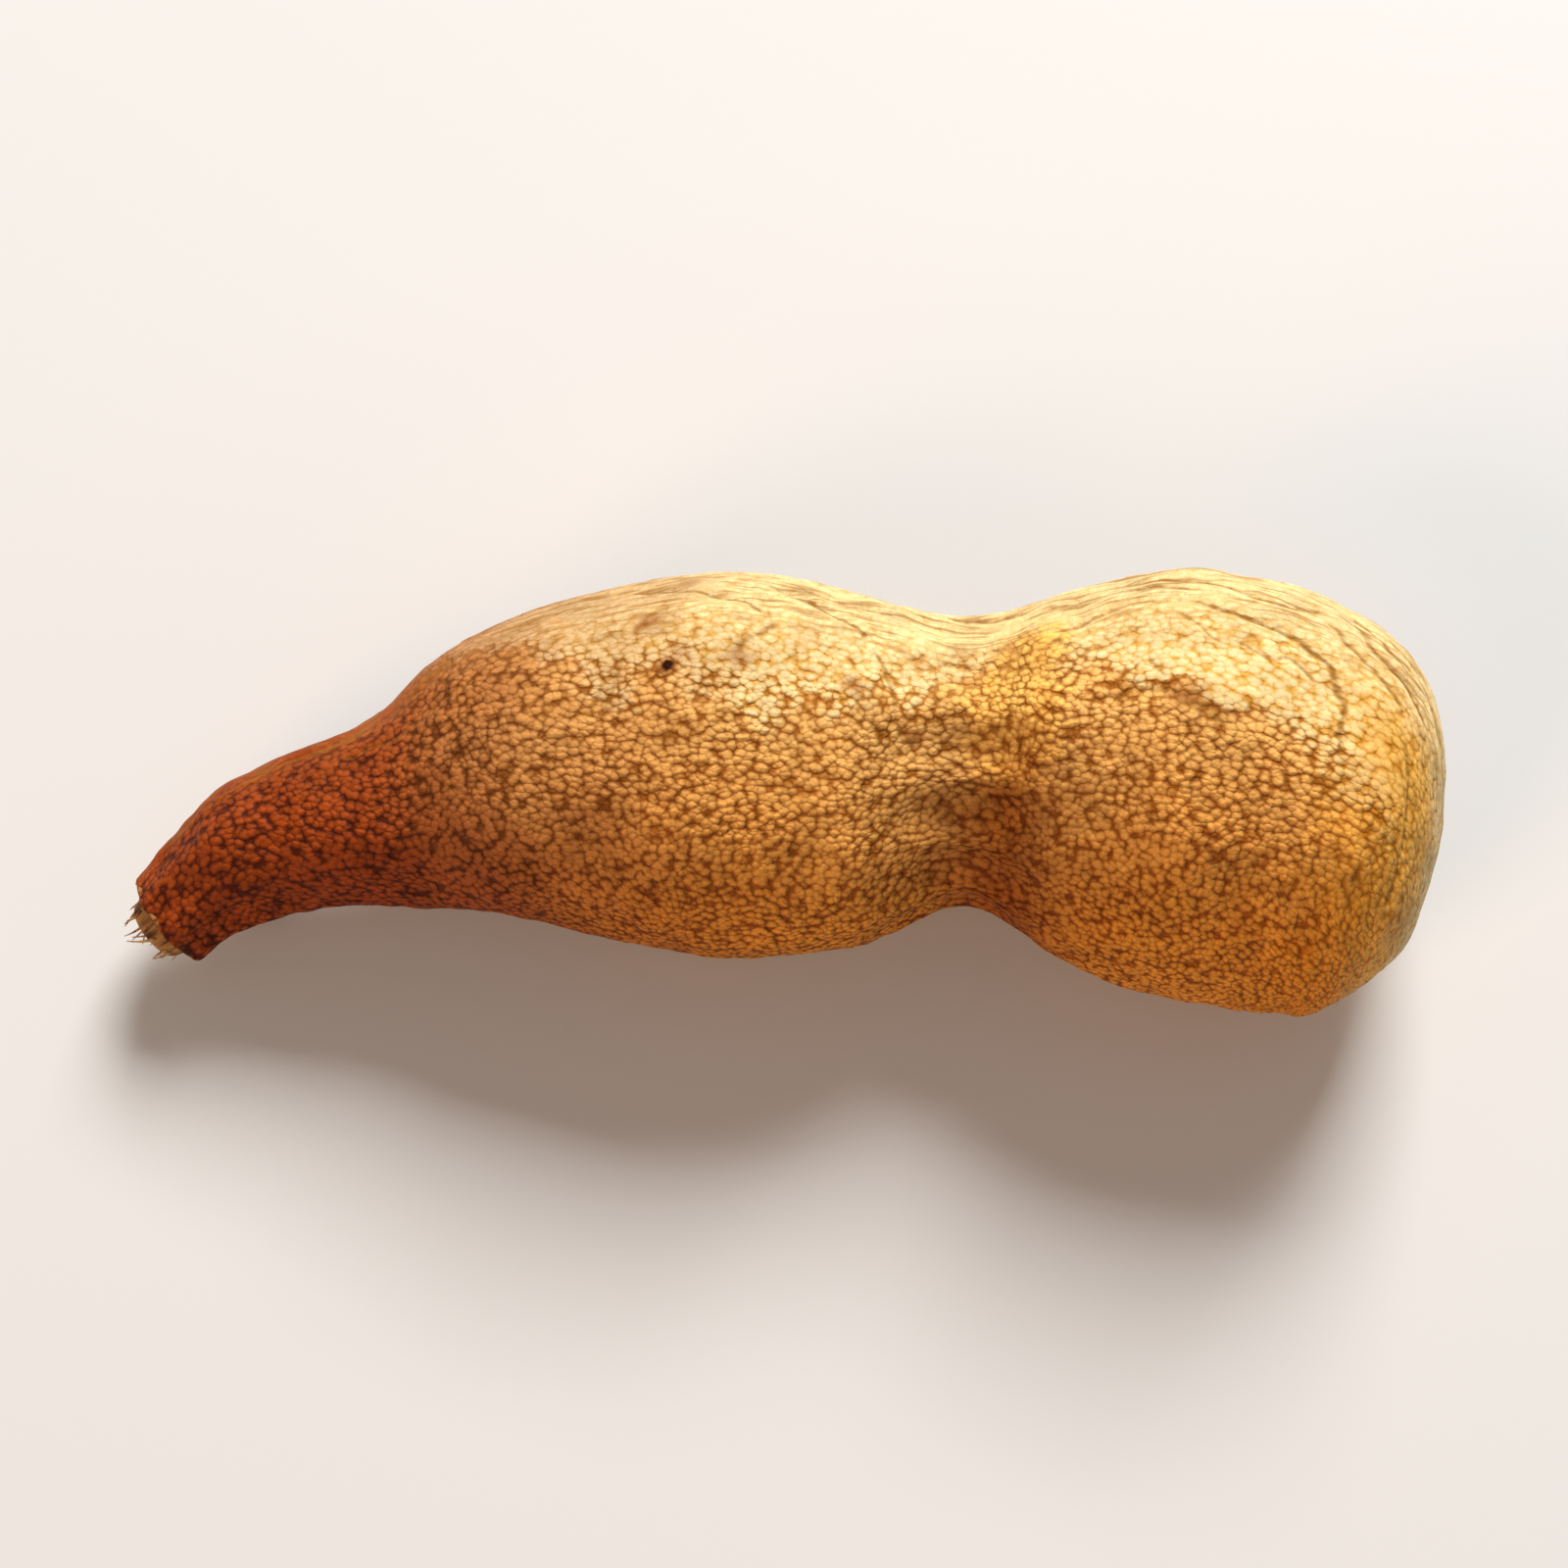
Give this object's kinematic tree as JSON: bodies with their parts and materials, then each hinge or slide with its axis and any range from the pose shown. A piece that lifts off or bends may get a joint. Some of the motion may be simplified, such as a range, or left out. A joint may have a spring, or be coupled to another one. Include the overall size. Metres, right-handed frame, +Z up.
{
  "type": "tamarind pod",
  "caption": "Dry, closed tamarind pod: a curved, lobed fruit with a pebbled tan shell, seam lines, a blunt tip and a stalk scar, lying on its flank.",
  "frame": {"origin": "centre of the footprint box, on the surface the pod lies on", "axes": "+X along the pod from the stalk end to the blunt tip, +Y towards the raised seam edge, +Z up"},
  "size_m": [0.092, 0.0306, 0.0271],
  "materials": {
    "shell": "dry matte pebbled shell, straw-coloured scurf over ochre brown"
  },
  "bodies": {
    "root": {"pod": "shell"}
  },
  "joints": []
}
